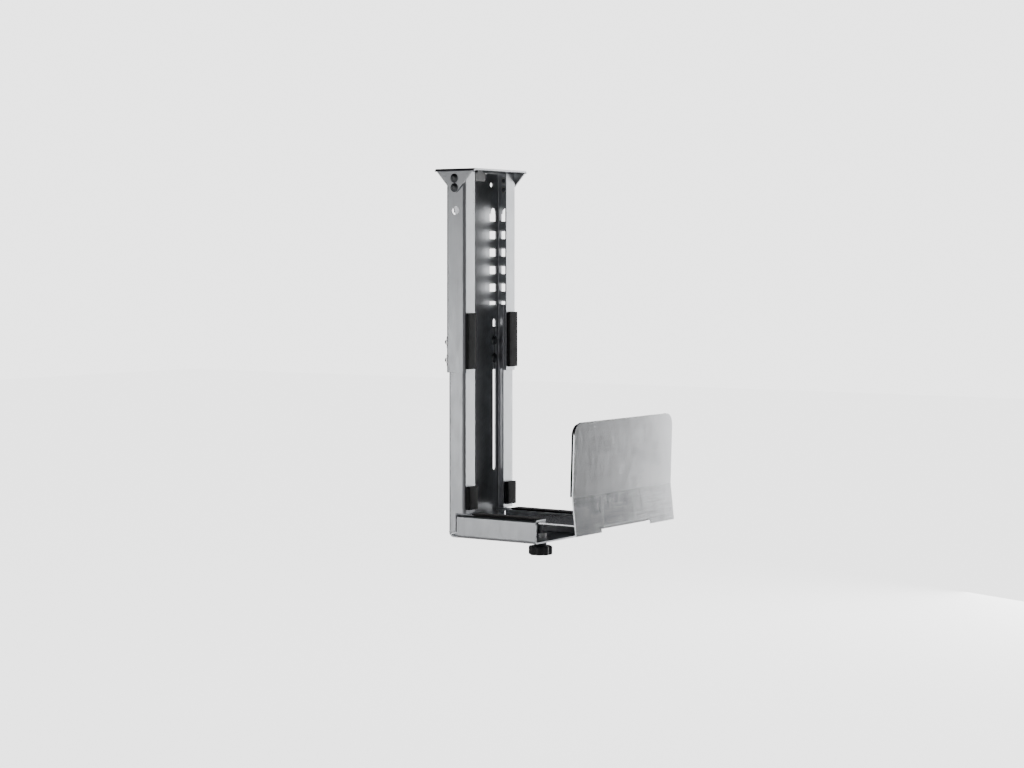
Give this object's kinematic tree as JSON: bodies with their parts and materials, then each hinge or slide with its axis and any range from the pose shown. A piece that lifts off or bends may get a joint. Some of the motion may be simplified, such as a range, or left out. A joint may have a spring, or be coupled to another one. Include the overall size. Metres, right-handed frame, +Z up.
{
  "type": "under-desk computer holder",
  "caption": "Under-desk computer holder: slotted telescopic steel hanger with a base channel and a side plate clamped by a hand knob.",
  "frame": {"origin": "centre of the desk plate's top face, which meets the underside of the desk", "axes": "+X from the upright towards the computer, +Y from the desk's front to its back, +Z up"},
  "size_m": [0.2735, 0.25, 0.533],
  "materials": {
    "satin_sheet": "satin silver finish on folded sheet",
    "grey_tab": "matt grey",
    "zinc": "zinc plated",
    "black_plastic": "fine moulded grain",
    "foam": "closed-cell foam"
  },
  "bodies": {
    "hanger": {"desk_plate": "satin_sheet", "stop_tab": "grey_tab", "upper_rail": "satin_sheet", "flange_screws": "zinc", "flange_nuts": "zinc", "height_bolts": "zinc", "height_washers": "zinc", "height_nuts": "zinc", "upper_rail_pads": "foam"},
    "lower_rail": {"lower_rail": "satin_sheet", "lower_rail_pads": "foam", "base_pads": "foam", "weld_nut": "zinc"},
    "side_plate": {"side_plate": "satin_sheet", "side_pad": "foam"},
    "clamp_foot": {"pressure_foot": "black_plastic"},
    "knob": {"knob": "black_plastic", "clamp_stud": "zinc", "knob_washer": "zinc"}
  },
  "joints": [
    {"name": "height_slide", "type": "slide", "parent": "hanger", "child": "lower_rail", "axis": [0, 0, 1], "range_m": [-0.025, 0.15]},
    {"name": "width_slide", "type": "slide", "parent": "lower_rail", "child": "side_plate", "axis": [1, 0, 0], "range_m": [-0.09, 0.01]},
    {"name": "clamp_travel", "type": "slide", "parent": "lower_rail", "child": "clamp_foot", "axis": [0, 0, 1], "range_m": [-0.005, 0]},
    {"name": "knob_turn", "type": "hinge", "parent": "clamp_foot", "child": "knob", "pos_m": [0.1, 0, -0.52], "axis": [0, 0, 1], "range_deg": [-1440, 0]}
  ],
  "couplings": [
    {"joint": "knob_turn", "follows": "clamp_travel", "rad_per_m": 5026.5}
  ]
}
